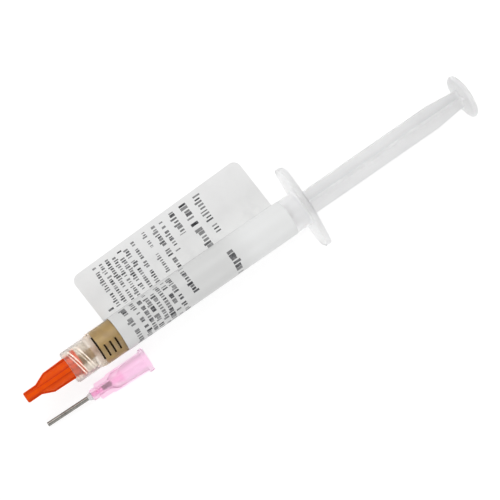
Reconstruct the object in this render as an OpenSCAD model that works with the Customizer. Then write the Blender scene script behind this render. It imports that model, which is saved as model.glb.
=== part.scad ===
// Luer lock syringe of solder paste, lying on its side, with its dispensing needle beside it.
// Sizes are in millimetres and +Z is up. The syringe runs along X with its tip at low X.
// Every syringe piece is drawn on the X axis with X = 0 at the rim of the luer collar. The needle is
// drawn the same way with X = 0 at its blunt end. syringe_frame() and needle_frame() then lay them down.

/* [Barrel] */
// Bore that the stopper slides in
bore_d = 8.66; // [8.2:0.02:9.2]
// Outside of the barrel
barrel_d = 10.3; // [10.1:0.1:11.5]
// Length from the collar's rim to the back of the finger flange
barrel_len = 79.2; // [74:0.2:94]
// Wall between the floor of the collar and the nose of the bore
nose_wall = 2.1; // [1.2:0.1:3]
// Length of the cone that closes the bore
nose_cone = 0.3; // [0.2:0.1:1.6]
// Length of the outside cone from the collar up to the barrel
step_len = 1.4; // [0.8:0.1:2]
// Height of the ring that keeps the stopper in
ring_h = 0.18; // [0.1:0.02:0.24]
// Distance of that ring from the back of the flange
ring_inset = 2.6; // [2:0.1:5]

/* [Finger flange] */
// Span from finger to finger
flange_span = 24.8; // [20:0.2:32]
// Diameter of the round middle of the flange
waist_d = 13.2; // [11.8:0.1:16]
// Width of each ear near its end
ear_w = 10.2; // [9.6:0.1:11.6]
// Radius of the ears' corners
ear_corner = 3.5; // [2:0.1:4.5]
// Thickness of the flange
flange_t = 1.7; // [1.6:0.1:2.6]
// Thickness of the flange at the ends of its ears
flange_end_t = 1.5; // [1.2:0.1:1.6]
// Radius at the foot of the flange
flange_foot = 0.6; // [0.3:0.1:0.9]

/* [Luer lock] */
// Outside of the collar
collar_d = 9.5; // [9.2:0.1:10]
// Inside of the collar, at the root of its thread
collar_bore_d = 8; // [7.9:0.05:8.2]
// Depth of the collar
collar_depth = 7; // [6:0.1:9]
// Diameter of the male cone at its end
cone_tip_d = 3.97; // [3.92:0.01:3.99]
// Length of the male cone that stands out of the collar
cone_reach = 2.2; // [2.1:0.1:3]
// Nozzle through the cone
nozzle_d = 2.4; // [1.6:0.1:2.6]
// Clearance all round between a cone and its socket
socket_gap = 0.04; // [0.02:0.01:0.08]
// Span over the cap's two lugs
lug_span = 7.6; // [7.4:0.02:7.83]
// Width of each lug on the cap and the hub
lug_w = 3.4; // [2.6:0.1:4]
// Thickness of the cap's lugs
lug_t = 1.1; // [0.8:0.05:1.3]

/* [Tip cap] */
// Length of the cap outside the collar
cap_out = 14.1; // [13:0.1:20]
// Length of the cap inside the collar
cap_in = 3.5; // [2.6:0.1:5]
// Width over the fins of the pull stub
stub_w = 3.05; // [2.8:0.05:4]
// Length of the pull stub
stub_len = 4.1; // [3:0.1:7]
// Length of the taper between stub and body
cap_taper_len = 3.4; // [2:0.1:5]
// Width over the fins of the body, at its front
cap_w = 6; // [5.8:0.1:6.8]
// Width over the fins of the body, at the collar
cap_rear_w = 6.4; // [6.2:0.1:7.2]
// Diameter of the body between the fins
cap_core_d = 5.3; // [5.2:0.1:5.7]
// Thickness of each fin
cap_fin_t = 1.1; // [0.8:0.1:1.6]
// Turn of the cap about its axis
cap_roll = 9; // [0:1:45]

/* [Plunger] */
// Distance from the back of the flange to the front of the thumb disc
drawn = 53.5; // [40:0.1:60]
// Length from the front of the stopper to the back of the thumb disc
plunger_len = 80; // [75:0.5:86]
// Thumb disc
disc_d = 13.2; // [11.6:0.1:15]
// Thickness of the thumb disc
disc_t = 1.5; // [1.2:0.1:2.2]
// Width over the rod's ribs
rod_w = 7; // [6.4:0.1:7.6]
// Thickness of each rib
rib_t = 1; // [0.8:0.05:1.4]
// Width over the ribs where they meet the thumb disc
rod_end_w = 4.9; // [4:0.1:6.4]
// Length of the taper in front of the thumb disc
rod_taper_len = 9.9; // [6:0.1:16]
// Turn of the rod about its axis
rod_roll = 13; // [0:1:45]
// Thickness of the guide disc behind the stopper
guide_t = 1.2; // [0.8:0.1:2]
// Clearance between the guide disc and the bore
guide_gap = 0.3; // [0.25:0.01:0.4]

/* [Stopper] */
// Length of the stopper
piston_len = 7.4; // [6.6:0.2:9]
// Height of its blunt cone
piston_cone = 0.8; // [0.5:0.1:1]
// Clearance of its sealing ribs in the bore
piston_gap = 0.03; // [0.02:0.01:0.06]
// Width of each sealing rib
seal_w = 1.3; // [0.9:0.1:1.8]
// Depth of the waist between the ribs
seal_h = 0.4; // [0.2:0.05:0.6]
// Diameter of the rod's nose
nose_d = 3.4; // [2.8:0.1:4]
// Diameter of the head that the stopper snaps over
head_d = 4.6; // [4.2:0.1:5.2]
// Clearance between the rod and the stopper
snap_gap = 0.05; // [0.03:0.01:0.08]

/* [Paste] */
// Clearance between the paste and what holds it
paste_gap = 0.03; // [0.02:0.01:0.06]

/* [Label] */
// Thickness of the film
film_t = 0.1; // [0.08:0.01:0.2]
// Clearance under the wrapped film
film_gap = 0.02; // [0.01:0.01:0.05]
// Distance of the label from the collar's rim
label_start = 16.1; // [14:0.1:22]
// Length of the label along the barrel
label_len = 56.7; // [45:0.1:59]
// Shift of the flag towards the tip
flag_shift = 0.5; // [0:0.1:3]
// Length of the flag at its root
flag_len = 56.8; // [44:0.1:60]
// Depth of the flag beyond the barrel, at its middle
flag_depth = 15.4; // [10:0.1:22]
// Slant of the flag's two short edges
flag_slant = 3.6; // [0:0.1:6]
// Slope of the flag's long edge
flag_slope = 1.6; // [0:0.1:4]
// Radius of the flag's two corners
flag_corner = 2.3; // [1:0.1:4]

/* [Needle] */
// Outside of the steel tube
tube_d = 1.27; // [1.1:0.01:1.5]
// Inside of the steel tube
tube_bore_d = 0.84; // [0.6:0.01:0.95]
// Length of tube ahead of the hub
tube_out = 14.2; // [10:0.1:24]
// Length of tube inside the hub
tube_in = 6.4; // [5:0.1:7]
// Length of the hub
hub_len = 18.3; // [17.6:0.1:22]
// Diameter of the neck at the front of the hub
neck_d = 3.2; // [2.6:0.1:3.6]
// Length of the neck
neck_len = 1.75; // [1.2:0.05:2.4]
// Width over the front fins
hub_fin_w = 4.9; // [4.2:0.1:5.2]
// Length of the front fins
hub_fin_len = 3.7; // [3:0.1:5.4]
// Length of the slope at the front of those fins
hub_fin_lead = 0.25; // [0.1:0.05:0.8]
// Length of the slope from those fins up to the body
hub_shoulder_len = 0.8; // [0.3:0.1:2]
// Core between the front fins
hub_core_d = 2.6; // [2.2:0.1:3]
// Width over the fins of the body, at its front
hub_body_w = 5.6; // [5.3:0.1:6]
// Width over the fins of the body, at the lugs
hub_rear_w = 6.1; // [5.8:0.1:6.4]
// Thickness of each hub fin
hub_fin_t = 0.8; // [0.6:0.05:1.2]
// Wall round the luer socket
socket_wall = 0.55; // [0.45:0.05:0.7]
// Depth of the luer socket
socket_depth = 8.3; // [7.5:0.1:9]
// Length of the funnel between the socket and the tube's hole
funnel_len = 2.4; // [1:0.1:2.8]
// Diameter of the socket's mouth
socket_mouth_d = 4.3; // [4.27:0.01:4.4]
// Span over the hub's lugs
hub_lug_span = 7.04; // [7:0.02:7.82]
// Diameter of the rim between the lugs
hub_rim_d = 6.6; // [6.2:0.1:6.8]
// Thickness of that rim and of the lugs on it
hub_rim_t = 1.4; // [0.9:0.1:1.6]
// Roll of the hub about its own axis
hub_roll = 0; // [0:1:20]
// Length of the glue bead
glue_len = 1.3; // [0.8:0.1:2]
// Diameter of the glue bead at the hub
glue_d = 2.7; // [2:0.1:2.9]

/* [Layout] */
// Distance between the syringe's axis and the needle's blunt end
needle_side = 9.3; // [8.5:0.1:14]
// Distance of the needle's blunt end behind the cap's end
needle_back = 1.2; // [0:0.1:6]
// Angle between the needle and the syringe, seen from above
needle_yaw = 1.3; // [0:0.1:4]

/* [Hidden] */
$fn = 96;
luer_taper = 0.06;
edge = 0.25;
cut = 0.5;

// Stations along the syringe, from the collar's rim
cap_tip = -cap_out;
cap_body = cap_tip + stub_len + cap_taper_len;
collar_len = collar_depth + 0.4;
nose_x = collar_depth + nose_wall;
bore_x = nose_x + nose_cone;
ring_x = barrel_len - ring_inset;
flange_x = barrel_len - flange_t;
disc_x = barrel_len + drawn;
disc_back = disc_x + disc_t;
piston_x = disc_back - plunger_len;
piston_back = piston_x + piston_len;
guide_x = piston_back + snap_gap;

// The rod's nose: its neck starts at the guide disc and its head ends at head_x
nose_neck = piston_len * 0.3;
head_x = piston_back - nose_neck - 1.4;
head_slope = 0.7;

// Stations along the needle, from its blunt end
tube_gap = 0.01;
hub_x = tube_out;
fin_x = hub_x + neck_len;
fin_top_x = fin_x + hub_fin_lead;
body_x = fin_x + hub_fin_len;
shoulder_x = body_x + hub_shoulder_len;
hub_back = hub_x + hub_len;
rim_x = hub_back - hub_rim_t;

// Half width of the fins on the cap, the rod and the hub at each station
cap_fins = [
    [cap_tip, stub_w / 2 - edge],
    [cap_tip + edge, stub_w / 2],
    [cap_tip + stub_len, stub_w / 2],
    [cap_body, cap_w / 2],
    [0, cap_rear_w / 2],
    [cap_in, cap_rear_w / 2]
];
rod_ribs = [
    [guide_x, rod_w / 2],
    [disc_x - rod_taper_len, rod_w / 2],
    [disc_x + edge, rod_end_w / 2]
];
hub_fins = [
    [fin_x, neck_d / 2],
    [fin_top_x, hub_fin_w / 2],
    [body_x, hub_fin_w / 2],
    [shoulder_x, hub_body_w / 2],
    [hub_back - hub_rim_t / 2, hub_rear_w / 2]
];

// Centre of one of the flange's rounded corners, its distance from the axis and its angle there
ear_centre = [flange_span / 2 - ear_corner, ear_w / 2 - ear_corner];
corner_reach = norm(ear_centre);
corner_turn = atan2(ear_centre.y, ear_centre.x);

// The syringe lies on one straight side of its flange, which rolls it a little
roll = asin((waist_d / 2 - ear_corner) / corner_reach) - corner_turn;
ear_reach = corner_reach * cos(roll - corner_turn) + ear_corner;
axis_h = max(waist_d, disc_d) / 2;

// The needle leans forward on the front fins and the shoulder of its hub, or on its rim
hub_tilt = max(
    atan((hub_body_w - hub_fin_w) / 2 / (shoulder_x - fin_top_x)),
    atan((hub_rim_d - hub_fin_w) / 2 / (rim_x - fin_top_x))
);
hub_h = max(
    tube_d / 2 * cos(hub_tilt),
    hub_fin_w / 2 * cos(hub_tilt) - fin_top_x * sin(hub_tilt)
);

// Outline of the flag on the table, from the front corner at its root
wrap_r = barrel_d / 2 + film_gap;
crease_y = wrap_r + film_t;
flag_x = label_start - flag_shift;
flag_end = flag_x + flag_len;
depth_front = flag_depth - flag_len / 2 * tan(flag_slope);
depth_back = flag_depth + flag_len / 2 * tan(flag_slope);
flag_points = [
    [flag_x, crease_y - film_t],
    [flag_x - depth_front * tan(flag_slant), crease_y + depth_front],
    [flag_end - depth_back * tan(flag_slant), crease_y + depth_back],
    [flag_end, crease_y - film_t]
];

// The box of the whole object, which sets the shared frame's origin
back_corner = corner_centre(flag_points, 2, flag_corner);
y_high = max(ear_reach, back_corner.y + flag_corner);
y_low = -max(
    ear_reach,
    needle_side + hub_back * cos(hub_tilt) * sin(needle_yaw) + hub_lug_span / 2 * cos(needle_yaw)
);
x_low = cap_tip;
x_mid = (x_low + disc_back) / 2;
y_mid = (y_low + y_high) / 2;

// Radius of the male luer cone at a station on the syringe
function cone_r(x) = (cone_tip_d + luer_taper * (x + cone_reach)) / 2;

// An outline on one side of the X axis together with its mirror image
function mirrored(half) = concat(half, [for (i = [len(half) - 1:-1:0]) [half[i].x, -half[i].y]]);

function unit(v) = v / norm(v);

// Centre of the arc that rounds corner i of an outline
function corner_centre(points, i, r) =
    let (
        p = points[i],
        a = unit(points[(i + len(points) - 1) % len(points)] - p),
        b = unit(points[(i + 1) % len(points)] - p),
        half = acos(a * b) / 2
    )
    p + unit(a + b) * r / sin(half);

// Points of the arc that rounds corner i, turning from the side before it to the side after it
function corner_arc(points, i, r, steps = 8) =
    let (
        c = corner_centre(points, i, r),
        a = unit(points[(i + len(points) - 1) % len(points)] - points[i]),
        b = unit(points[(i + 1) % len(points)] - points[i]),
        foot_a = points[i] + a * ((c - points[i]) * a) - c,
        foot_b = points[i] + b * ((c - points[i]) * b) - c,
        turn = acos(foot_a * foot_b / r / r)
    )
    [for (k = [0:steps])
        c + (sin(turn * (1 - k / steps)) * foot_a + sin(turn * k / steps) * foot_b) / sin(turn)];

// Moves what is drawn on the syringe's axis into the shared frame
module syringe_frame(turn = 0) {
    translate([-x_mid, -y_mid, axis_h])
        rotate([turn, 0, 0])
            children();
}

// Moves what is drawn on the needle's axis into the shared frame
module needle_frame() {
    translate([cap_tip + needle_back - x_mid, -needle_side - y_mid, hub_h])
        rotate([0, -hub_tilt, -needle_yaw])
            rotate([hub_roll, 0, 0])
                children();
}

// Turns an outline of radius against station about the X axis
module turned() {
    rotate([0, 90, 0])
        rotate_extrude()
            children();
}

// Two crossed plates of one outline, which is given as station against half width
module crossed(half, thickness) {
    for (turn = [0, 90])
        rotate([turn, 0, 0])
            linear_extrude(height = thickness, center = true)
                polygon(mirrored(half));
}

// A plate across the X axis from station x, drawn as an outline in Y and Z
module plate(x, thickness) {
    translate([x, 0, 0])
        rotate([90, 0, 90])
            linear_extrude(height = thickness)
                children();
}

// Two lugs that stand out to either side
module lugs(x, span, thickness) {
    plate(x, thickness)
        intersection() {
            circle(d = span);
            square([span, lug_w], center = true);
        }
}

// Round middle with an ear to either side, whose sides run straight to its rounded corners
module flange_outline() {
    upwards = [sin(roll), cos(roll)];
    circle(d = waist_d);
    for (turn = [0, 180])
        rotate(turn) {
            for (side = [1, -1])
                translate([ear_centre.x, side * ear_centre.y]) circle(ear_corner);
            polygon(mirrored([
                waist_d / 2 * upwards,
                ear_centre + ear_corner * upwards,
                ear_centre + [ear_corner, 0]
            ]));
        }
}

// Wall of the barrel from the cone's end round the collar to the flange, and back along the bore
module barrel_wall() {
    bore_r = bore_d / 2;
    collar_r = collar_d / 2;
    polygon([
        [nozzle_d / 2, -cone_reach],
        [cone_r(-cone_reach), -cone_reach],
        [cone_r(collar_depth), collar_depth],
        [collar_bore_d / 2, collar_depth],
        [collar_bore_d / 2, edge],
        [collar_bore_d / 2 + edge, 0],
        [collar_r - edge, 0],
        [collar_r, edge],
        [collar_r, collar_len],
        [barrel_d / 2, collar_len + step_len],
        [barrel_d / 2, barrel_len],
        [bore_r + edge, barrel_len],
        [bore_r, barrel_len - edge],
        [bore_r, ring_x + 3 * ring_h],
        [bore_r - ring_h, ring_x + ring_h],
        [bore_r - ring_h, ring_x - ring_h],
        [bore_r, ring_x - 3 * ring_h],
        [bore_r, bore_x],
        [nozzle_d / 2, nose_x]
    ]);
}

// Round that blends the barrel into the finger flange
module flange_foot_round() {
    difference() {
        translate([barrel_d / 2 - edge, flange_x - flange_foot])
            square([flange_foot + edge, flange_foot + edge]);
        translate([barrel_d / 2 + flange_foot, flange_x - flange_foot])
            circle(flange_foot);
    }
}

// Keeps the flange full in the middle and thins the back of its ears
module flange_draft() {
    reach = (flange_span - waist_d) / 2;
    slope = (flange_t - flange_end_t) / reach;
    polygon([
        [0, flange_x - cut],
        [flange_span / 2 + cut, flange_x - cut],
        [flange_span / 2 + cut, flange_x + flange_end_t - slope * cut],
        [waist_d / 2, barrel_len],
        [waist_d / 2, barrel_len + cut],
        [0, barrel_len + cut]
    ]);
}

module barrel() {
    color([0.9, 0.92, 0.94, 0.5]) {
        turned() barrel_wall();
        turned() flange_foot_round();
        difference() {
            intersection() {
                plate(flange_x, flange_t) flange_outline();
                turned() flange_draft();
            }
            plate(flange_x - cut, flange_t + 2 * cut) circle(d = barrel_d - 2 * edge);
        }
    }
}

module cap_core() {
    stub_r = stub_w / 2 - 0.4;
    polygon([
        [0, cap_tip],
        [stub_r, cap_tip],
        [stub_r, cap_tip + stub_len],
        [cap_core_d / 2, cap_body],
        [cap_core_d / 2, cap_in - lug_t],
        [cap_rear_w / 2, cap_in - lug_t],
        [cap_rear_w / 2, cap_in],
        [0, cap_in]
    ]);
}

module cap_socket() {
    polygon([
        [0, -cone_reach - 1],
        [cone_r(-cone_reach) + socket_gap - 0.2, -cone_reach - 1],
        [cone_r(-cone_reach) + socket_gap, -cone_reach - 0.3],
        [cone_r(cap_in) + socket_gap, cap_in],
        [cone_r(cap_in) + socket_gap, cap_in + cut],
        [0, cap_in + cut]
    ]);
}

module tip_cap() {
    color([0.93, 0.32, 0.03])
        difference() {
            union() {
                turned() cap_core();
                crossed(cap_fins, cap_fin_t);
                lugs(cap_in - lug_t, lug_span, lug_t);
            }
            turned() cap_socket();
        }
}

module paste() {
    r = bore_d / 2 - paste_gap;
    color([0.62, 0.53, 0.33])
        turned()
            polygon([
                [0, bore_x + paste_gap],
                [r, bore_x + paste_gap],
                [r, piston_x + piston_cone - paste_gap],
                [0, piston_x - paste_gap]
            ]);
}

module nozzle_paste() {
    r = bore_d / 2 - paste_gap;
    bore_r = nozzle_d / 2 - paste_gap;
    color([0.62, 0.53, 0.33])
        turned()
            polygon([
                [0, -cone_reach],
                [bore_r, -cone_reach],
                [bore_r, nose_x + paste_gap],
                [r, bore_x],
                [0, bore_x]
            ]);
}

// Half section of the stopper, with the socket that snaps over the rod's headed nose
module piston_section() {
    r = bore_d / 2 - piston_gap;
    shoulder = piston_x + piston_cone;
    socket_r = nose_d / 2 + snap_gap;
    head_r = head_d / 2 + snap_gap;
    mouth = piston_back - nose_neck + snap_gap;
    polygon([
        [0, piston_x],
        [r - seal_h, shoulder],
        [r, shoulder + seal_h / 2],
        [r, shoulder + seal_w],
        [r - seal_h, shoulder + seal_w + seal_h],
        [r - seal_h, piston_back - seal_w - seal_h],
        [r, piston_back - seal_w],
        [r, piston_back - seal_h / 2],
        [r - seal_h, piston_back],
        [socket_r, piston_back],
        [socket_r, mouth],
        [head_r, mouth],
        [head_r, head_x - snap_gap],
        [socket_r - head_slope, head_x - snap_gap - head_slope],
        [0, head_x - snap_gap - head_slope]
    ]);
}

module piston() {
    color([0.8, 0.81, 0.8])
        turned() piston_section();
}

module rod_nose() {
    polygon([
        [0, head_x - head_slope],
        [nose_d / 2 - head_slope, head_x - head_slope],
        [head_d / 2, head_x],
        [head_d / 2, piston_back - nose_neck],
        [nose_d / 2, piston_back - nose_neck],
        [nose_d / 2, guide_x + guide_t],
        [0, guide_x + guide_t]
    ]);
}

// Thumb disc with a full round rim
module thumb_disc() {
    rim = disc_t / 2;
    translate([0, disc_x]) square([disc_d / 2 - rim, disc_t]);
    intersection() {
        translate([disc_d / 2 - rim, disc_x + rim]) circle(rim);
        translate([0, disc_x]) square([disc_d / 2, disc_t]);
    }
}

module plunger_rod() {
    color([0.93, 0.94, 0.95, 0.7])
        union() {
            crossed(rod_ribs, rib_t);
            turned() rod_nose();
            turned() translate([0, guide_x]) square([bore_d / 2 - guide_gap, guide_t]);
            turned() thumb_disc();
        }
}

// Outline in Y and Z of the barrel and of the film's two layers as they run down to the crease
module wrap_outline(r) {
    crease = [crease_y - film_t + r - wrap_r, -axis_h + 2 * film_t - r + wrap_r];
    reach = norm(crease);
    middle = atan2(crease.y, crease.x);
    half = acos(r / reach);
    circle(r);
    polygon([
        [0, 0],
        r * [cos(middle + half), sin(middle + half)],
        crease,
        r * [cos(middle - half), sin(middle - half)]
    ]);
}

module label() {
    color([0.93, 0.94, 0.94]) {
        plate(label_start, label_len)
            difference() {
                wrap_outline(wrap_r + film_t);
                wrap_outline(wrap_r);
            }
        translate([0, 0, -axis_h])
            linear_extrude(height = 2 * film_t)
                polygon(concat(
                    [flag_points[0]],
                    corner_arc(flag_points, 1, flag_corner),
                    corner_arc(flag_points, 2, flag_corner),
                    [flag_points[3]]
                ));
    }
}

module hub_core() {
    socket_r = socket_mouth_d / 2 + socket_wall;
    bottom_r = socket_r - luer_taper / 2 * (hub_back - body_x - 2);
    polygon([
        [0, hub_x],
        [neck_d / 2, hub_x],
        [neck_d / 2, fin_x],
        [hub_core_d / 2, fin_x],
        [hub_core_d / 2, body_x],
        [bottom_r, body_x + 2],
        [socket_r, rim_x],
        [hub_rim_d / 2, rim_x],
        [hub_rim_d / 2, hub_back],
        [0, hub_back]
    ]);
}

// Luer socket, and the hole that the tube is glued in
module hub_socket() {
    bottom = hub_back - socket_depth;
    mouth_r = socket_mouth_d / 2;
    polygon([
        [0, hub_x - cut],
        [tube_d / 2 + tube_gap, hub_x - cut],
        [tube_d / 2 + tube_gap, bottom - funnel_len],
        [mouth_r - luer_taper / 2 * socket_depth, bottom],
        [mouth_r, hub_back],
        [mouth_r, hub_back + cut],
        [0, hub_back + cut]
    ]);
}

module needle_hub() {
    color([0.93, 0.62, 0.8, 0.7])
        difference() {
            union() {
                turned() hub_core();
                crossed(hub_fins, hub_fin_t);
                lugs(rim_x, hub_lug_span, hub_rim_t);
            }
            turned() hub_socket();
        }
}

module needle_tube() {
    color([0.6, 0.6, 0.6])
        turned()
            polygon([
                [tube_bore_d / 2, 0],
                [tube_d / 2 - 0.05, 0],
                [tube_d / 2, 0.05],
                [tube_d / 2, hub_x + tube_in],
                [tube_bore_d / 2, hub_x + tube_in]
            ]);
}

module needle_glue() {
    color([0.9, 0.93, 0.93, 0.8])
        turned()
            polygon([
                [tube_d / 2 + tube_gap, hub_x - glue_len],
                [tube_d / 2 + 0.1, hub_x - glue_len],
                [glue_d / 2, hub_x],
                [tube_d / 2 + tube_gap, hub_x]
            ]);
}

syringe_frame(roll) barrel();
syringe_frame(rod_roll) plunger_rod();
syringe_frame() piston();
syringe_frame() paste();
syringe_frame() nozzle_paste();
syringe_frame(cap_roll) tip_cap();
syringe_frame() label();
needle_frame() needle_hub();
needle_frame() needle_tube();
needle_frame() needle_glue();
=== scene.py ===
import math
import bpy
from mathutils import Matrix, Vector


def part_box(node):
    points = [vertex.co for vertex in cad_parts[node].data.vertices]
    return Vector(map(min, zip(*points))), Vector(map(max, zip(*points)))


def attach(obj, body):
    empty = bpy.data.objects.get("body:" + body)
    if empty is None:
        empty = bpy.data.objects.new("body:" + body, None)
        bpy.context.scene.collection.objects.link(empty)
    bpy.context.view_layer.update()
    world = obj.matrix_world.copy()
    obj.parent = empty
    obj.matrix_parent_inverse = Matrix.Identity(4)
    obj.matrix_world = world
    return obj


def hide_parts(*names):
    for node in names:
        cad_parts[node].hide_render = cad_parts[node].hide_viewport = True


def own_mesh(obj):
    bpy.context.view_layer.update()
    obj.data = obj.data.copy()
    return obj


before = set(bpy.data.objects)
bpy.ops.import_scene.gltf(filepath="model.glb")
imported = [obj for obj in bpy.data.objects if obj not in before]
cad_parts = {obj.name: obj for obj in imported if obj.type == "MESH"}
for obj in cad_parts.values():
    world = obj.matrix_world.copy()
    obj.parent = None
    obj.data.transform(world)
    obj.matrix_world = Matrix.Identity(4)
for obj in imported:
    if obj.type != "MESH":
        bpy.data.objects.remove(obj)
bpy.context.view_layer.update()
mm = 0.001
weldDistance = 0.000002

# The syringe's own axis: x counts from the collar's rim, y and z from the axis
coneReach = 2.2
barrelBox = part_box("barrel")
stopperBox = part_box("piston")
rimX = barrelBox[0].x + coneReach * mm
axisY = (stopperBox[0].y + stopperBox[1].y) / 2
axisZ = (stopperBox[0].z + stopperBox[1].z) / 2


def onSyringe(x, y=0, z=0):
    return Vector((rimX + x * mm, axisY + y * mm, axisZ + z * mm))


def deselectAll():
    for obj in bpy.context.selected_objects:
        obj.select_set(False)


# Camera, aimed at a place on the syringe
cameraView = {
    "aim": (59.15, -1.49, 0),
    "turn": -34.57,
    "pitch": 9.82,
    "roll": -0.7,
    "distance": 643,
    "lens": 169.0,
    "sensor": 36,
}


def addCamera(view):
    bpy.ops.object.camera_add()
    camera = bpy.context.object
    turned = (
        Matrix.Rotation(math.radians(-view["pitch"]), 4, "Y")
        @ Matrix.Rotation(math.radians(view["roll"]), 4, "X")
        @ Matrix.Rotation(math.radians(view["turn"]), 4, "Z")
    )
    back = turned.to_3x3() @ Vector((0, 0, 1))
    eye = onSyringe(*view["aim"]) + back * view["distance"] * mm
    camera.matrix_world = Matrix.Translation(eye) @ turned
    camera.data.lens = view["lens"]
    camera.data.sensor_width = view["sensor"]
    bpy.context.scene.camera = camera


# Short ways to build node trees
def joinUp(tree, value, socket):
    if isinstance(value, bpy.types.NodeSocket):
        tree.links.new(value, socket)
    elif value is not None:
        socket.default_value = value


def calc(tree, operation, first, second=None, third=None, clamp=False):
    node = tree.nodes.new("ShaderNodeMath")
    node.operation = operation
    node.use_clamp = clamp
    for value, socket in zip((first, second, third), node.inputs):
        joinUp(tree, value, socket)
    return node.outputs[0]


def allOf(tree, *masks):
    result = masks[0]
    for mask in masks[1:]:
        result = calc(tree, "MULTIPLY", result, mask)
    return result


def within(tree, value, low, high):
    return allOf(tree, calc(tree, "GREATER_THAN", value, low), calc(tree, "LESS_THAN", value, high))


def remap(tree, value, fromLow, fromHigh, toLow, toHigh):
    node = tree.nodes.new("ShaderNodeMapRange")
    node.interpolation_type = "SMOOTHSTEP"
    for socketName, number in (
        ("Value", value),
        ("From Min", fromLow),
        ("From Max", fromHigh),
        ("To Min", toLow),
        ("To Max", toHigh),
    ):
        joinUp(tree, number, node.inputs[socketName])
    return node.outputs["Result"]


def blendColour(tree, factor, first, second, mode="MIX"):
    node = tree.nodes.new("ShaderNodeMix")
    node.data_type = "RGBA"
    node.blend_type = mode
    joinUp(tree, factor, node.inputs[0])
    joinUp(tree, first, node.inputs[6])
    joinUp(tree, second, node.inputs[7])
    return node.outputs[2]


# The second colour where a value rises through a span, the first colour below it
def blendWhere(tree, value, span, first, second, most=1.0):
    return blendColour(tree, remap(tree, value, *span, 0.0, most), first, second)


def cloud(tree, place, scale, detail=2.0, roughness=0.5):
    node = tree.nodes.new("ShaderNodeTexNoise")
    joinUp(tree, place, node.inputs["Vector"])
    joinUp(tree, scale, node.inputs["Scale"])
    node.inputs["Detail"].default_value = detail
    node.inputs["Roughness"].default_value = roughness
    return node.outputs["Fac"]


def chance(tree, x, y, z):
    seed = tree.nodes.new("ShaderNodeCombineXYZ")
    for value, socket in zip((x, y, z), seed.inputs):
        joinUp(tree, value, socket)
    node = tree.nodes.new("ShaderNodeTexWhiteNoise")
    node.noise_dimensions = "3D"
    tree.links.new(seed.outputs[0], node.inputs["Vector"])
    return node.outputs["Value"]


def bump(tree, height, strength, distance, normal=None):
    node = tree.nodes.new("ShaderNodeBump")
    joinUp(tree, height, node.inputs["Height"])
    joinUp(tree, strength, node.inputs["Strength"])
    joinUp(tree, distance, node.inputs["Distance"])
    joinUp(tree, normal, node.inputs["Normal"])
    return node.outputs["Normal"]


# From smooth to dull as a noise rises through the middle of its range
noiseSpread = (0.3, 0.7)


def setGloss(tree, shader, noise, look):
    roughness = remap(tree, noise, *noiseSpread, look["smooth"], look["dull"])
    tree.links.new(roughness, shader.inputs["Roughness"])


def newGroup(name, inputs, outputs):
    tree = bpy.data.node_groups.new(name, "ShaderNodeTree")
    for socketName, kind, value in inputs:
        socket = tree.interface.new_socket(socketName, in_out="INPUT", socket_type="NodeSocket" + kind)
        if value is not None:
            socket.default_value = value
    for socketName, kind in outputs:
        tree.interface.new_socket(socketName, in_out="OUTPUT", socket_type="NodeSocket" + kind)
    return tree, tree.nodes.new("NodeGroupInput").outputs, tree.nodes.new("NodeGroupOutput").inputs


def useGroup(tree, group, values):
    node = tree.nodes.new("ShaderNodeGroup")
    node.node_tree = group
    for socketName, value in values.items():
        joinUp(tree, value, node.inputs[socketName])
    return node.outputs


# Places measured on the syringe: millimetres from the collar's rim and round the axis
def makeSyringePlaces():
    tree, _, result = newGroup(
        "syringePlaces",
        [],
        [("X", "Float"), ("Y", "Float"), ("Round", "Float"), ("Place", "Vector")],
    )
    where = tree.nodes.new("ShaderNodeTexCoord").outputs["Object"]
    mapping = tree.nodes.new("ShaderNodeMapping")
    mapping.vector_type = "TEXTURE"
    mapping.inputs["Location"].default_value = onSyringe(0)
    mapping.inputs["Scale"].default_value = (mm, mm, mm)
    tree.links.new(where, mapping.inputs["Vector"])
    parts = tree.nodes.new("ShaderNodeSeparateXYZ")
    tree.links.new(mapping.outputs[0], parts.inputs[0])
    x, y, z = parts.outputs
    joinUp(tree, x, result["X"])
    joinUp(tree, y, result["Y"])
    angle = calc(tree, "ARCTAN2", z, y)
    squares = calc(tree, "ADD", calc(tree, "MULTIPLY", y, y), calc(tree, "MULTIPLY", z, z))
    radius = calc(tree, "SQRT", squares)
    joinUp(tree, calc(tree, "MULTIPLY", angle, radius), result["Round"])
    joinUp(tree, mapping.outputs[0], result["Place"])
    return tree


# Moulded plastic: cloudy colour, streaks along the flow and a faint ripple
mouldFlow = {
    "stretch": (0.12, 1, 1),
    "streakScale": 1.6,
    "cloudShare": 0.6,
    "streakShare": 0.4,
    "mottleSpan": (0.35, 0.65),
    "rippleDepth": 0.00006,
    "grainScale": 9.0,
    "grainDepth": 0.00001,
}


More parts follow.
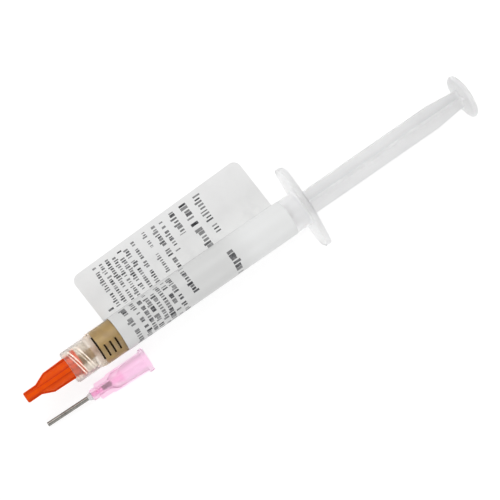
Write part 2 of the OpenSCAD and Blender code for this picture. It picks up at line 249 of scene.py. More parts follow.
def makeMouldedPlastic(flow):
    tree, given, result = newGroup(
        "mouldedPlastic",
        [
            ("Place", "Vector", None),
            ("Colour", "Color", (0.8, 0.8, 0.8, 1)),
            ("Cloud Colour", "Color", (0.7, 0.7, 0.7, 1)),
            ("Cloud Size", "Float", 4.0),
            ("Smooth", "Float", 0.2),
            ("Dull", "Float", 0.4),
            ("Ripple", "Float", 0.1),
            ("Grain", "Float", 0.1),
        ],
        [("Colour", "Color"), ("Roughness", "Float"), ("Normal", "Vector")],
    )
    place = given["Place"]
    stretch = tree.nodes.new("ShaderNodeMapping")
    stretch.inputs["Scale"].default_value = flow["stretch"]
    tree.links.new(place, stretch.inputs["Vector"])
    perSize = calc(tree, "DIVIDE", 1.0, given["Cloud Size"])
    clouds = cloud(tree, place, perSize, 3.0)
    streaks = cloud(tree, stretch.outputs[0], flow["streakScale"], 4.0, 0.6)
    cloudPart = calc(tree, "MULTIPLY", clouds, flow["cloudShare"])
    streakPart = calc(tree, "MULTIPLY", streaks, flow["streakShare"])
    mottle = calc(tree, "ADD", cloudPart, streakPart)
    colour = blendWhere(tree, mottle, flow["mottleSpan"], given["Colour"], given["Cloud Colour"])
    joinUp(tree, colour, result["Colour"])
    joinUp(tree, remap(tree, streaks, *noiseSpread, given["Smooth"], given["Dull"]), result["Roughness"])
    ripple = bump(tree, streaks, given["Ripple"], flow["rippleDepth"])
    grain = cloud(tree, place, flow["grainScale"], 2.0)
    joinUp(tree, bump(tree, grain, given["Grain"], flow["grainDepth"], ripple), result["Normal"])
    return tree


# Lines of make-believe print: rows of plain blocks, with no letters among them. A block's height
# runs from its foot to its top, as shares of the line's height, and a few reach further than most
blockShape = {
    "top": 0.42,
    "tallTop": 0.78,
    "tallFrom": 0.76,
    "foot": -0.4,
    "deepFoot": -0.76,
    "deepTo": 0.1,
    "uneven": 0.1,
    "switch": 0.02,
    "leftOut": 0.15,
    "widthSpan": (0.1, 1.0),
    "widths": (0.65, 1.3),
    "tones": (0.72, 1.0),
}


def makePrintBlock(shape):
    tree, given, result = newGroup(
        "printBlock",
        [
            ("Along", "Float", 0.0),
            ("Across", "Float", 0.0),
            ("From", "Float", 0.0),
            ("To", "Float", 10.0),
            ("First", "Float", 0.0),
            ("Lines", "Float", 1.0),
            ("Pitch", "Float", 2.1),
            ("Height", "Float", 1.0),
            ("Step", "Float", 0.36),
            ("Weight", "Float", 0.6),
            ("Ragged", "Float", 1.0),
            ("Seed", "Float", 0.0),
        ],
        [("Ink", "Float")],
    )
    fromFirst = calc(tree, "SUBTRACT", given["First"], given["Across"])
    lineAt = calc(tree, "ADD", calc(tree, "DIVIDE", fromFirst, given["Pitch"]), 0.5)
    line = calc(tree, "FLOOR", lineAt)
    share = calc(tree, "SUBTRACT", calc(tree, "FRACT", lineAt), 0.5)
    fromMiddle = calc(tree, "MULTIPLY", share, given["Pitch"])
    up = calc(tree, "DIVIDE", fromMiddle, given["Height"])
    cellAt = calc(tree, "DIVIDE", given["Along"], given["Step"])
    cell = calc(tree, "FLOOR", cellAt)
    kind = chance(tree, cell, line, given["Seed"])
    other = chance(tree, line, cell, calc(tree, "ADD", given["Seed"], 0.5))
    tallTo = shape["tallFrom"] + shape["switch"]
    deepFrom = shape["deepTo"] - shape["switch"]
    uneven = calc(tree, "MULTIPLY", other, shape["uneven"])
    top = remap(tree, kind, shape["tallFrom"], tallTo, shape["top"], shape["tallTop"])
    top = calc(tree, "ADD", top, uneven)
    foot = remap(tree, kind, shape["deepTo"], deepFrom, shape["foot"], shape["deepFoot"])
    foot = calc(tree, "SUBTRACT", foot, uneven)
    widths = remap(tree, other, *shape["widthSpan"], *shape["widths"])
    width = calc(tree, "MULTIPLY", given["Weight"], widths)
    block = within(tree, calc(tree, "FRACT", cellAt), 0.0, width)
    inked = calc(tree, "GREATER_THAN", other, shape["leftOut"])
    tone = remap(tree, chance(tree, line, cell, given["Seed"]), 0.0, 1.0, *shape["tones"])
    cut = calc(tree, "MULTIPLY", chance(tree, line, given["Seed"], 5.0), given["Ragged"])
    span = within(tree, given["Along"], calc(tree, "ADD", given["From"], cut), given["To"])
    rows = within(tree, lineAt, 0.0, given["Lines"])
    joinUp(tree, allOf(tree, within(tree, up, foot, top), block, inked, span, rows, tone), result["Ink"])
    return tree


syringePlaces = makeSyringePlaces()
mouldedPlastic = makeMouldedPlastic(mouldFlow)
printBlock = makePrintBlock(blockShape)


def newMaterial(name):
    material = bpy.data.materials.new(name)
    material.use_nodes = True
    tree = material.node_tree
    return tree, tree.nodes["Principled BSDF"]


def setSockets(shader, values):
    for socketName, value in values.items():
        shader.inputs[socketName].default_value = value


# Lamps shine through a see-through plastic instead of stopping at it
def letLampsThrough(tree, shader, colour):
    output = tree.nodes["Material Output"]
    path = tree.nodes.new("ShaderNodeLightPath")
    clear = tree.nodes.new("ShaderNodeBsdfTransparent")
    clear.inputs["Color"].default_value = (*colour, 1)
    mix = tree.nodes.new("ShaderNodeMixShader")
    tree.links.new(path.outputs["Is Shadow Ray"], mix.inputs[0])
    tree.links.new(shader.outputs[0], mix.inputs[1])
    tree.links.new(clear.outputs[0], mix.inputs[2])
    tree.links.new(mix.outputs[0], output.inputs["Surface"])


def dress(node, material):
    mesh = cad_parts[node].data
    mesh.materials.clear()
    mesh.materials.append(material)


# Finishes of the plastics: the colour, its clouds, and what the shader needs. A tint fades out from
# its first station to its second, a zone has a roughness of its own, and a rim tints slanted faces
rimSlant = (0.35, 0.85)
# Painted shade in creases: how far ambient occlusion looks, and over which values it darkens the colour
paintedShadeReach = 0.002
paintedShadeSpan = (0.6, 1.0)
plastics = {
    "frostedPlastic": {
        "colour": (0.99, 0.99, 0.99),
        "clouds": (0.965, 0.965, 0.97),
        "cloudSize": 5.0,
        "smooth": 0.3,
        "dull": 0.42,
        "ripple": 0.02,
        "grain": 0.02,
        "lamps": (0.93, 0.93, 0.93),
        "tints": [
            (9.4, 9.0, (0.9, 0.83, 0.79)),
            (7.9, 7.5, (0.94, 0.98, 1.0)),
            (17.5, 16.5, (0.97, 0.95, 0.89)),
            (77.2, 77.6, (0.9, 0.9, 0.9)),
        ],
        "zones": [(-3.0, 7.6, 0.276), (7.6, 9.2, 0.9)],
        "rim": (7.4, (0.78, 0.78, 0.8)),
        "sockets": {"Transmission Weight": 0.95, "IOR": 1.25, "Specular IOR Level": 0.5},
    },
    "milkyPlastic": {
        "colour": (0.94, 0.94, 0.94),
        "clouds": (0.9, 0.9, 0.905),
        "cloudSize": 7.0,
        "smooth": 0.34,
        "dull": 0.48,
        "ripple": 0.08,
        "grain": 0.04,
        "lamps": (0.6, 0.6, 0.6),
        "tints": [(132.4, 131.6, (0.9, 0.9, 0.9)), (124, 104, (1.033, 1.033, 1.033))],
        "sockets": {"Transmission Weight": 0.5, "IOR": 1.3},
    },
    "orangePlastic": {
        "colour": (0.8, 0.084, 0.0),
        "clouds": (0.74, 0.066, 0.0),
        "cloudSize": 2.5,
        "smooth": 0.3,
        "dull": 0.45,
        "ripple": 0.12,
        "grain": 0.06,
        "lamps": None,
        # painted shade: the colour multiplied in where ambient occlusion finds a crease
        "paintedCreaseShade": (0.64, 0.28, 1.0),
        "sockets": {
            "Specular IOR Level": 0.1,
            "Subsurface Weight": 0.05,
            "Subsurface Radius": (1.0, 0.2, 0.05),
            "Subsurface Scale": 0.0005,
        },
    },
    "pinkPlastic": {
        "colour": (0.985, 0.83, 0.925),
        "clouds": (0.98, 0.79, 0.91),
        "cloudSize": 3.0,
        "smooth": 0.28,
        "dull": 0.34,
        "ripple": 0.02,
        "grain": 0.01,
        "lamps": (0.95, 0.8, 0.9),
        "tints": [(11.5, 10.5, (1.0, 0.88, 0.94))],
        "rim": (100.0, (0.97, 0.66, 0.84)),
        "sockets": {"Transmission Weight": 0.9, "IOR": 1.3, "Specular IOR Level": 0.5},
    },
    "clearGlue": {
        "colour": (0.93, 0.95, 0.95),
        "clouds": (0.88, 0.91, 0.91),
        "cloudSize": 1.0,
        "smooth": 0.05,
        "dull": 0.2,
        "ripple": 0.1,
        "grain": 0.02,
        "lamps": (0.8, 0.8, 0.8),
        "sockets": {"Transmission Weight": 0.5, "IOR": 1.5},
    },
}


def makePlastic(name, finish):
    tree, shader = newMaterial(name)
    places = useGroup(tree, syringePlaces, {})
    look = useGroup(
        tree,
        mouldedPlastic,
        {
            "Place": places["Place"],
            "Colour": (*finish["colour"], 1),
            "Cloud Colour": (*finish["clouds"], 1),
            "Cloud Size": finish["cloudSize"],
            "Smooth": finish["smooth"],
            "Dull": finish["dull"],
            "Ripple": finish["ripple"],
            "Grain": finish["grain"],
        },
    )
    colour = look["Colour"]
    for start, end, tint in finish.get("tints", []):
        fades = float(start > end)
        tinted = remap(tree, places["X"], min(start, end), max(start, end), fades, 1 - fades)
        colour = blendColour(tree, tinted, colour, (*tint, 1), "MULTIPLY")
    if "rim" in finish:
        end, tint = finish["rim"]
        facing = tree.nodes.new("ShaderNodeLayerWeight").outputs["Facing"]
        slanted = remap(tree, facing, *rimSlant, 0.0, 1.0)
        slanted = allOf(tree, slanted, calc(tree, "LESS_THAN", places["X"], end))
        colour = blendColour(tree, slanted, colour, (*tint, 1), "MULTIPLY")
    # Painted shade: ambient occlusion darkens the colour in creases and at the feet of the fins
    if "paintedCreaseShade" in finish:
        shelter = tree.nodes.new("ShaderNodeAmbientOcclusion")
        shelter.only_local = True
        shelter.inputs["Distance"].default_value = paintedShadeReach
        paintedShade = remap(tree, shelter.outputs["AO"], *paintedShadeSpan, 1.0, 0.0)
        colour = blendColour(tree, paintedShade, colour, (*finish["paintedCreaseShade"], 1), "MULTIPLY")
    tree.links.new(colour, shader.inputs["Base Color"])
    roughness = look["Roughness"]
    for start, end, dull in finish.get("zones", []):
        here = within(tree, places["X"], start, end)
        change = calc(tree, "MULTIPLY", here, calc(tree, "SUBTRACT", dull, roughness))
        roughness = calc(tree, "ADD", roughness, change)
    tree.links.new(roughness, shader.inputs["Roughness"])
    tree.links.new(look["Normal"], shader.inputs["Normal"])
    setSockets(shader, finish["sockets"])
    if finish["lamps"]:
        letLampsThrough(tree, shader, finish["lamps"])


for plasticName, finish in plastics.items():
    makePlastic(plasticName, finish)


# The paste: grains of solder in flux, mottled where it wets the wall
pasteLook = {
    "colour": (0.3, 0.175, 0.03, 1),
    "pale": (0.4, 0.25, 0.05, 1),
    "dark": (0.21, 0.12, 0.02, 1),
    "paleNozzle": (0.6, 0.46, 0.37, 1),
    "paleNozzleAt": (7.5, 9.25),
    "paleSpan": (0.4, 0.65),
    "darkSpan": (0.58, 0.7),
    "darkMost": 0.6,
    "swirlScale": 0.45,
    "speckScale": 14.0,
    "bump": (0.35, 0.00002),
    "smooth": 0.3,
    "dull": 0.5,
}


def makePasteMaterial(look):
    tree, shader = newMaterial("solderPaste")
    places = useGroup(tree, syringePlaces, {})
    swirl = cloud(tree, places["Place"], look["swirlScale"], 4.0, 0.6)
    specks = cloud(tree, places["Place"], look["speckScale"], 1.0)
    colour = blendWhere(tree, swirl, look["paleSpan"], look["colour"], look["pale"])
    colour = blendWhere(tree, specks, look["darkSpan"], colour, look["dark"], look["darkMost"])
    # The paste is paler in the nozzle, from 7.5 to 9.25 mm along the syringe
    colour = blendColour(tree, within(tree, places["X"], *look["paleNozzleAt"]), colour, look["paleNozzle"])
    tree.links.new(colour, shader.inputs["Base Color"])
    setGloss(tree, shader, specks, look)
    tree.links.new(bump(tree, specks, *look["bump"]), shader.inputs["Normal"])


makePasteMaterial(pasteLook)

# The stopper: pale rubber with a fine matt skin
stopperLook = {
    "colour": (0.62, 0.63, 0.62, 1),
    "dusty": (0.7, 0.71, 0.7, 1),
    "dustSpan": (0.35, 0.65),
    "skinScale": 5.0,
    "bump": (0.2, 0.00002),
    "smooth": 0.42,
    "dull": 0.6,
}


def makeStopperMaterial(look):
    tree, shader = newMaterial("stopperRubber")
    places = useGroup(tree, syringePlaces, {})
    skin = cloud(tree, places["Place"], look["skinScale"], 4.0)
    colour = blendWhere(tree, skin, look["dustSpan"], look["colour"], look["dusty"])
    tree.links.new(colour, shader.inputs["Base Color"])
    setGloss(tree, shader, skin, look)
    tree.links.new(bump(tree, skin, *look["bump"]), shader.inputs["Normal"])


makeStopperMaterial(stopperLook)

# The needle's tube: drawn steel with fine lines round it from centreless grinding
steelLook = {
    "colour": (0.27, 0.26, 0.24, 1),
    "dark": (0.11, 0.105, 0.095, 1),
    "glue": (0.85, 0.6, 0.74, 1),
    "glued": (13.2, 17.6),
    "squeeze": (9, 0.8, 0.8),
    "lineScale": 1.6,
    "lineSpan": (0.45, 0.62),
    "lineMost": 0.5,
    "blotchScale": 0.7,
    "blotchSpan": (0.4, 0.7),
    "blotchMost": 0.6,
    "bump": (0.3, 0.00001),
    "smooth": 0.2,
    "dull": 0.36,
}


def makeSteelMaterial(look):
    tree, shader = newMaterial("groundSteel")
    places = useGroup(tree, syringePlaces, {})
    squeeze = tree.nodes.new("ShaderNodeMapping")
    squeeze.inputs["Scale"].default_value = look["squeeze"]
    tree.links.new(places["Place"], squeeze.inputs["Vector"])
    lines = cloud(tree, squeeze.outputs[0], look["lineScale"], 3.0, 0.6)
    blotch = cloud(tree, places["Place"], look["blotchScale"], 3.0)
    dark = look["dark"]
    colour = blendWhere(tree, blotch, look["blotchSpan"], look["colour"], dark, look["blotchMost"])
    colour = blendWhere(tree, lines, look["lineSpan"], colour, dark, look["lineMost"])
    tip = (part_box("needle_tube")[0].x - rimX) / mm
    glued = within(tree, places["X"], tip + look["glued"][0], tip + look["glued"][1])
    tree.links.new(blendColour(tree, glued, colour, look["glue"]), shader.inputs["Base Color"])
    tree.links.new(calc(tree, "SUBTRACT", 1.0, glued), shader.inputs["Metallic"])
    setGloss(tree, shader, lines, look)
    tree.links.new(bump(tree, lines, *look["bump"]), shader.inputs["Normal"])


makeSteelMaterial(steelLook)

# The label: satin film with lines of make-believe print on the flag and round the barrel
filmLook = {
    "film": (0.82, 0.82, 0.818, 1),
    # painted light: the flag's film is lighter near the barrel, against the barrel's shade on it
    "paintedLightNearBarrel": (0.87, 0.87, 0.865, 1),
    "paintedLightSpan": (5.0, 13.0),
    "onBarrel": (0.755, 0.76, 0.758, 1),
    "overPaste": (0.63, 0.632, 0.627, 1),
    "pasteEnd": (50.0, 62.0),
    "smudge": (0.79, 0.79, 0.788, 1),
    "ink": (0.022, 0.022, 0.026, 1),
    "thinInk": (0.16, 0.16, 0.17, 1),
    "thinSpan": (0.45, 0.7),
    "smudgeScale": 0.16,
    "smudgeSpan": (0.42, 0.7),
    "smudgeMost": 0.8,
    "fineScale": 1.3,
    "waves": (0.35, 0.0004),
    "bump": (0.12, 0.00002),
    "smooth": 0.34,
    "dull": 0.5,
}
flagEdge = 5.4
wrapRadius = 5.27

# Print as stations along the syringe, in millimetres. A line runs across the flag in millimetres
# from the axis, and round the barrel in degrees. What a line leaves out is in usualPrint
usualPrint = {"lines": 1, "pitch": 2.8, "height": 1.05, "step": 0.7, "weight": 0.56}
raggedEnd = 1.5
flagPrint = [
    {"first": 56.1, "from": 7.2, "to": 19.9, "height": 1.75, "step": 0.95, "weight": 0.46},
    {"first": 51.9, "from": 5.4, "to": 19.6, "height": 1.8, "step": 1.05, "weight": 0.7},
    {"first": 47.8, "from": 12.6, "to": 19.4, "height": 1.6, "step": 0.95, "weight": 0.7},
    {"first": 44.0, "from": 9.4, "to": 19.2, "pitch": 2.4, "height": 1.25, "step": 0.8, "weight": 0.66},
    {"first": 41.5, "from": 5.1, "to": 19.1, "pitch": 2.4, "height": 1.25, "step": 0.8, "weight": 0.66},
    {"first": 38.3, "from": 14.4, "to": 19.1, "between": (13.5, 25)},
    {"first": 38.3, "from": 6.4, "to": 12.6, "between": (0, 13.5)},
    {"first": 34.3, "from": 5.6, "to": 18.9},
    {"first": 31.8, "from": 4.9, "to": 18.8, "lines": 6, "pitch": 2.04},
    {"first": 19.4, "from": 5.3, "to": 7.1, "pitch": 2.3, "height": 1.2, "step": 0.8},
]
barrelPrint = [
    {"first": 53.4, "from": 64, "to": 161, "height": 1.9, "step": 1.1, "weight": 0.8},
    {"first": 39.7, "from": 12, "to": 118, "height": 1.3, "step": 0.85, "weight": 0.7},
    {
        "first": 35.5,
        "from": 18,
        "to": 172,
        "lines": 7,
        "pitch": 2.03,
        "height": 1.25,
        "step": 0.8,
        "weight": 0.74,
    },
    {"first": 20.5, "from": 17, "to": 162, "height": 1.5, "step": 0.9, "weight": 0.76},
]


def makeFilmMaterial(look):
    tree, shader = newMaterial("satinFilm")
    places = useGroup(tree, syringePlaces, {})
    onFlag = calc(tree, "GREATER_THAN", places["Y"], flagEdge)
    onWrap = calc(tree, "SUBTRACT", 1.0, onFlag)
    roundWrap = calc(tree, "MULTIPLY", onWrap, places["Round"])
    along = calc(tree, "MULTIPLY_ADD", onFlag, places["Y"], roundWrap)
    perDegree = math.radians(wrapRadius)
    line = {}
    for seed, ownPrint in enumerate(flagPrint + barrelPrint):
        isFlag = ownPrint in flagPrint
        share = 1 if isFlag else perDegree
        block = {**usualPrint, **ownPrint}
        pitch, lines = block["pitch"], block["lines"]
        lowest = block["first"] - (lines - 0.5) * pitch
        here = within(tree, places["X"], lowest, block["first"] + pitch / 2)
        here = allOf(tree, here, onFlag if isFlag else onWrap)
        if "between" in block:
            here = allOf(tree, here, within(tree, along, *block["between"]))
        for name, value in {
            "From": block["from"] * share,
            "To": block["to"] * share,
            "First": block["first"],
            "Lines": lines,
            "Pitch": pitch,
            "Height": block["height"],
            "Step": block["step"],
            "Weight": block["weight"],
            "Ragged": raggedEnd if lines > 1 else 0.0,
            "Seed": seed + 3.0,
        }.items():
            line[name] = calc(tree, "MULTIPLY_ADD", here, value, line.get(name, 0.0))
    ink = useGroup(tree, printBlock, {"Along": along, "Across": places["X"], **line})["Ink"]
    smudges = cloud(tree, places["Place"], look["smudgeScale"], 4.0, 0.55)
    fine = cloud(tree, places["Place"], look["fineScale"], 3.0)
    wrapped = blendWhere(tree, places["X"], look["pasteEnd"], look["overPaste"], look["onBarrel"])
    # Painted light: the flag is lighter near the barrel, fading to the plain film further out
    flag = blendWhere(tree, places["Y"], look["paintedLightSpan"], look["paintedLightNearBarrel"], look["film"])
    flag = blendWhere(tree, smudges, look["smudgeSpan"], flag, look["smudge"], look["smudgeMost"])
    colour = blendColour(tree, onFlag, wrapped, flag)
    inkColour = blendWhere(tree, fine, look["thinSpan"], look["ink"], look["thinInk"])
    tree.links.new(blendColour(tree, ink, colour, inkColour), shader.inputs["Base Color"])
    setGloss(tree, shader, smudges, look)
    waves = bump(tree, smudges, *look["waves"])
    tree.links.new(bump(tree, fine, *look["bump"], waves), shader.inputs["Normal"])


makeFilmMaterial(filmLook)

# New pieces are drawn on the syringe's axis and then put in the frame for good
smoothAngle = 35


def settle(piece, name, body, material):
    deselectAll()
    piece.select_set(True)
    bpy.context.view_layer.objects.active = piece
    bpy.ops.object.transform_apply(location=True, rotation=True, scale=True)
    bpy.ops.object.shade_smooth_by_angle(angle=math.radians(smoothAngle))
    piece.name = name
    piece.data.name = name
    piece.data.materials.clear()
    piece.data.materials.append(bpy.data.materials[material])
    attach(piece, body)


def closeUp():
    bpy.ops.mesh.select_all(action="SELECT")
    bpy.ops.mesh.remove_doubles(threshold=weldDistance)
    bpy.ops.mesh.fill_holes(sides=0)
    bpy.ops.mesh.select_all(action="SELECT")
    bpy.ops.mesh.normals_make_consistent(inside=False)


def aboutAxis(degrees):
    middle = Matrix.Translation(onSyringe(0))
    return middle @ Matrix.Rotation(math.radians(degrees), 4, "X") @ middle.inverted()


# A copy with its own mesh, turned or moved to a new place
def copyTo(piece, change):
    copy = piece.copy()
    copy.data = piece.data.copy()
    copy.data.transform(change)
    bpy.context.scene.collection.objects.link(copy)
    return copy


# A copy of a moulding with its sharp edges rounded over, as a mould leaves them
rounding = {"flatAngle": 0.5, "edgeAngle": 32, "segments": 3, "sliver": 0.000001}
roundedMouldings = [
    {
        "node": "tip_cap",
        "name": "roundedCap",
        "body": "cap",
        "slot": "orange_plastic",
        "material": "orangePlastic",
        "radius": 0.1,
        "turn": -5,
    },
    {
        "node": "needle_hub",
        "name": "roundedHub",
        "body": "barrel",
        "slot": "pink_plastic",
        "material": "pinkPlastic",
        "radius": 0.09,
        "turn": 0,
    },
    {
        "node": "plunger_rod",
        "name": "roundedRod",
        "body": "rod",
        "slot": "rod_plastic",
        "material": "milkyPlastic",
        "radius": 0.16,
        "turn": 0,
    },
]


def buildRounded(m):
    copy = copyTo(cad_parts[m["node"]], aboutAxis(m["turn"]))
    deselectAll()
    copy.select_set(True)
    bpy.context.view_layer.objects.active = copy
    bpy.ops.object.mode_set(mode="EDIT")
    bpy.ops.mesh.select_all(action="SELECT")
    bpy.ops.mesh.remove_doubles(threshold=weldDistance)
    bpy.ops.mesh.dissolve_limited(angle_limit=math.radians(rounding["flatAngle"]))
    bpy.ops.object.mode_set(mode="OBJECT")
    soften = copy.modifiers.new("soften", "BEVEL")
    soften.width = m["radius"] * mm
    soften.segments = rounding["segments"]
    soften.limit_method = "ANGLE"
    soften.angle_limit = math.radians(rounding["edgeAngle"])
    bpy.ops.object.modifier_apply(modifier=soften.name)
    bpy.ops.object.mode_set(mode="EDIT")
    bpy.ops.mesh.select_all(action="SELECT")
    bpy.ops.mesh.dissolve_degenerate(threshold=rounding["sliver"])
    bpy.ops.object.mode_set(mode="OBJECT")
    settle(copy, m["name"], m["body"], m["material"])
    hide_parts(m["node"])


# A turned piece: a disc pulled along the axis from station to station, each with its radius
turnedSides = 96


def turnedPiece(stations):
    deselectAll()
    x, radius = stations[0]
    bpy.ops.mesh.primitive_circle_add(
        vertices=turnedSides,
        radius=radius * mm,
        fill_type="NGON",
        location=onSyringe(x),
        rotation=(0, math.pi / 2, 0),
    )
    piece = bpy.context.object
    bpy.ops.object.mode_set(mode="EDIT")
    bpy.ops.mesh.select_all(action="SELECT")
    for nextX, nextRadius in stations[1:]:
        share = nextRadius / radius
        bpy.ops.mesh.extrude_region_move(TRANSFORM_OT_translate={"value": ((nextX - x) * mm, 0, 0)})
        bpy.ops.transform.resize(value=(1, share, share), center_override=onSyringe(nextX))
        x, radius = nextX, nextRadius
    closeUp()
    bpy.ops.object.mode_set(mode="OBJECT")
    return piece


# A ridge swept round the axis: a plane becomes its section, and the turn makes the rest
def sweptRidge(x, footRadius, topRadius, footWidth, topWidth, start, turn, lead, steps):
    height = abs(footRadius - topRadius)
    middle = (footRadius + topRadius) / 2
    towardsTop = 1 if topRadius > footRadius else -1
    deselectAll()
    bpy.ops.mesh.primitive_plane_add(size=1, location=onSyringe(0))
    ridge = bpy.context.object
    bpy.ops.object.mode_set(mode="EDIT")
    bpy.ops.mesh.select_all(action="SELECT")
    bpy.ops.transform.resize(value=(footWidth * mm, height * mm, 1))
    bpy.ops.transform.translate(value=(x * mm, middle * mm, 0))
    bpy.ops.object.mode_set(mode="OBJECT")
    for element in (*ridge.data.polygons, *ridge.data.edges):
        element.select = False
    for vertex in ridge.data.vertices:
        vertex.select = (vertex.co.y - middle * mm) * towardsTop > 0
    bpy.ops.object.mode_set(mode="EDIT")
    narrower = topWidth / footWidth
    bpy.ops.transform.resize(value=(narrower, 1, 1), center_override=onSyringe(x, middle))
    bpy.ops.object.mode_set(mode="OBJECT")
    screw = ridge.modifiers.new("turn", "SCREW")
    screw.axis = "X"
    screw.angle = math.radians(turn)
    screw.screw_offset = lead * turn / 360 * mm
    screw.steps = steps
    screw.render_steps = steps
    bpy.ops.object.modifier_apply(modifier=screw.name)
    bpy.ops.object.mode_set(mode="EDIT")
    closeUp()
    bpy.ops.object.mode_set(mode="OBJECT")
    ridge.rotation_euler.x = math.radians(start)
    return ridge


# Paste in the bore and in the nozzle, a hair wider than the wall so that it wets it
pasteShape = {
    "front": 9.43,
    "frontBevel": (0.08, 0.12),
    "back": (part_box("piston")[0].x - rimX) / mm,
    "gap": 0.03,
    "cone": 0.8,
    "radius": 4.35,
    "rimRound": 0.25,
    "rimShare": 0.3,
    "noseRadius": 1.7,
    "travel": 44,
}
nozzlePasteStations = [(-2.2, 1.17), (-2.18, 1.21), (9.1, 1.215), (9.4, 4.33), (9.42, 4.31)]


def buildPaste(p):
    rim = p["back"] + p["cone"] - p["gap"]
    bevelLength, bevelDepth = p["frontBevel"]
    soft = p["rimRound"]
    softer = soft * p["rimShare"]
    paste = turnedPiece(
        [
            (p["front"], p["radius"] - bevelDepth),
            (p["front"] + bevelLength, p["radius"]),
            (rim - soft, p["radius"]),
            (rim - softer, p["radius"] - softer),
            (rim, p["radius"] - soft),
            (p["back"] - p["gap"], p["noseRadius"]),
        ]
    )
    settle(paste, "pasteColumn", "barrel", "solderPaste")
    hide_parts("paste")
    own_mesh(paste)
    nozzle = turnedPiece(nozzlePasteStations)
    settle(nozzle, "nozzlePaste", "barrel", "solderPaste")
    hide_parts("nozzle_paste")


# The collar's double thread: 5 mm lead, two starts half a turn apart
thread = {
    "foot": 4.03,
    "crest": 3.65,
    "footWidth": 1.02,
    "crestWidth": 0.5,
    "from": 0.7,
    "to": 6.2,
    "lead": 5.0,
    "topAt": 2.52,
    "stepsPerTurn": 72,
    "colour": (1.0, 0.98, 0.96, 1),
    "worn": (0.93, 0.9, 0.88, 1),
    "patchScale": 0.8,
    "wornSpan": (0.4, 0.6),
    "flankSpan": (0.3, 0.6),
    "paintedFlankHighlight": 1.0,
    "crestShows": 0.0,
    "fadeSpan": (0.45, 0.65),
    "fadeTo": 0.6,
    # glow: painted light, an emission that makes the flanks glow
    "glow": 0.6,
    "smooth": 0.2,
    "dull": 0.35,
}


# The crest is clear, and the flanks are pale lines that glow a little: a painted highlight
def makeThreadMaterial(t):
    tree, shader = newMaterial("threadPlastic")
    places = useGroup(tree, syringePlaces, {})
    ways = tree.nodes.new("ShaderNodeSeparateXYZ")
    tree.links.new(tree.nodes.new("ShaderNodeTexCoord").outputs["Normal"], ways.inputs[0])
    slope = calc(tree, "ABSOLUTE", ways.outputs["X"])
    patchy = cloud(tree, places["Place"], t["patchScale"], 3.0)
    colour = blendWhere(tree, patchy, t["wornSpan"], t["colour"], t["worn"])
    tree.links.new(colour, shader.inputs["Base Color"])
    paintedHighlight = remap(tree, slope, *t["flankSpan"], t["crestShows"], t["paintedFlankHighlight"])
    fades = remap(tree, patchy, *t["fadeSpan"], 1.0, t["fadeTo"])
    tree.links.new(calc(tree, "MULTIPLY", paintedHighlight, fades), shader.inputs["Alpha"])
    setGloss(tree, shader, patchy, t)
    # Painted light: the flanks glow, though they are no lamp
    setSockets(shader, {"Emission Color": t["colour"], "Emission Strength": t["glow"]})


def buildThread(t):
    makeThreadMaterial(t)
    start = 90 + (t["from"] - t["topAt"]) / t["lead"] * 360
    turn = (t["to"] - t["from"]) / t["lead"] * 360
    steps = int(turn / 360 * t["stepsPerTurn"])
    ridge = sweptRidge(
        t["from"], t["foot"], t["crest"], t["footWidth"], t["crestWidth"], start, turn, t["lead"], steps
    )
    settle(ridge, "collarThread1", "barrel", "threadPlastic")
    settle(copyTo(ridge, aboutAxis(180)), "collarThread2", "barrel", "threadPlastic")


# Printed graduation marks: the zero line and the short ones before the label
marks = {
    "width": 0.5,
    "radius": 5.152,
    "ink": 0.02,
    "zero": (9.2, 48, 132),
    "short": (10.95, 90, 133),
    "further": (1.75, 3.45),
    "steps": 20,
    "colour": (0.008, 0.005, 0.003, 1),
    "faded": (0.025, 0.016, 0.012, 1),
    "fadedSpan": (0.4, 0.7),
    "patchScale": 3.0,
    "smooth": 0.4,
    "dull": 0.6,
    "shine": 0.1,
}


def buildMarks(m):
    tree, shader = newMaterial("markInk")
    places = useGroup(tree, syringePlaces, {})
    patchy = cloud(tree, places["Place"], m["patchScale"], 3.0)
    colour = blendWhere(tree, patchy, m["fadedSpan"], m["colour"], m["faded"])
    tree.links.new(colour, shader.inputs["Base Color"])
    setGloss(tree, shader, patchy, m)
    setSockets(shader, {"Specular IOR Level": m["shine"]})
    top, width = m["radius"] + m["ink"], m["width"]
    made = []
    for x, start, end in (m["zero"], m["short"]):
        mark = sweptRidge(x, m["radius"], top, width, width, start, end - start, 0, m["steps"])
        settle(mark, "graduation%d" % len(made), "barrel", "markInk")
        made.append(mark)
    for further in m["further"]:
        mark = copyTo(made[1], Matrix.Translation((further * mm, 0, 0)))
        settle(mark, "graduation%d" % len(made), "barrel", "markInk")
        made.append(mark)


# Floor and light
studio = {
    "floorSize": 4,
    "seenShade": 0.3,
    "bounceShade": 0.8,
    "floorGlow": 0.78,
    "horizonLight": 0.96,
    "zenithLight": 0.62,
    "skySpan": (0.1, 0.95),
}
lamps = [
    {"name": "keyLamp", "place": (-0.1, 0.6, 0.75), "size": 0.6, "power": 2.8},
    {"name": "fillLamp", "place": (0.1, -0.8, 0.6), "size": 0.6, "power": 1.6},
]


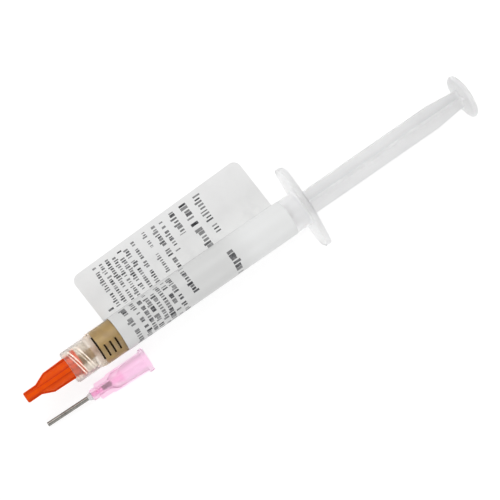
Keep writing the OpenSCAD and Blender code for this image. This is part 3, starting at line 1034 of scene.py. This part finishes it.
def addFloor(s):
    deselectAll()
    bpy.ops.mesh.primitive_plane_add(size=s["floorSize"], location=(0, 0, 0))
    floor = bpy.context.object
    floor.name = "floor"
    material = bpy.data.materials.new("paleFloor")
    material.use_nodes = True
    tree = material.node_tree
    tree.nodes.clear()
    out = tree.nodes.new("ShaderNodeOutputMaterial")
    shade = tree.nodes.new("ShaderNodeBsdfDiffuse")
    glow = tree.nodes.new("ShaderNodeEmission")
    path = tree.nodes.new("ShaderNodeLightPath").outputs
    indirect = calc(tree, "MAXIMUM", path["Is Glossy Ray"], path["Is Transmission Ray"])
    seen = calc(tree, "MAXIMUM", path["Is Camera Ray"], indirect)
    bounce, shown = ((s[key],) * 3 + (1,) for key in ("bounceShade", "seenShade"))
    tree.links.new(blendColour(tree, seen, bounce, shown), shade.inputs["Color"])
    tree.links.new(calc(tree, "MULTIPLY", seen, s["floorGlow"]), glow.inputs["Strength"])
    both = tree.nodes.new("ShaderNodeAddShader")
    tree.links.new(shade.outputs[0], both.inputs[0])
    tree.links.new(glow.outputs[0], both.inputs[1])
    tree.links.new(both.outputs[0], out.inputs["Surface"])
    floor.data.materials.append(material)


def addLights(s):
    for lamp in lamps:
        bpy.ops.object.light_add(type="AREA", location=lamp["place"])
        light = bpy.context.object
        light.name = lamp["name"]
        light.data.size = lamp["size"]
        light.data.energy = lamp["power"]
        light.rotation_euler = (-Vector(lamp["place"])).to_track_quat("-Z", "Y").to_euler()
    world = bpy.data.worlds.new("studio")
    bpy.context.scene.world = world
    world.use_nodes = True
    tree = world.node_tree
    ways = tree.nodes.new("ShaderNodeSeparateXYZ")
    tree.links.new(tree.nodes.new("ShaderNodeTexCoord").outputs["Generated"], ways.inputs[0])
    sky = remap(tree, ways.outputs["Z"], *s["skySpan"], s["horizonLight"], s["zenithLight"])
    background = tree.nodes["Background"]
    background.inputs["Color"].default_value = (1, 1, 1, 1)
    tree.links.new(sky, background.inputs["Strength"])


addCamera(cameraView)
addFloor(studio)
addLights(studio)
print("stage ready")
finishes = {
    "barrel": "frostedPlastic",
    "plunger_rod": "milkyPlastic",
    "piston": "stopperRubber",
    "tip_cap": "orangePlastic",
    "label": "satinFilm",
    "needle_hub": "pinkPlastic",
    "needle_tube": "groundSteel",
    "needle_glue": "clearGlue",
}
for node, material in finishes.items():
    dress(node, bpy.data.materials[material])
print("finishes ready")
buildPaste(pasteShape)
buildThread(thread)
buildMarks(marks)
for moulding in roundedMouldings:
    buildRounded(moulding)
print("pieces ready")

bpy.context.scene.view_settings.view_transform = "Standard"
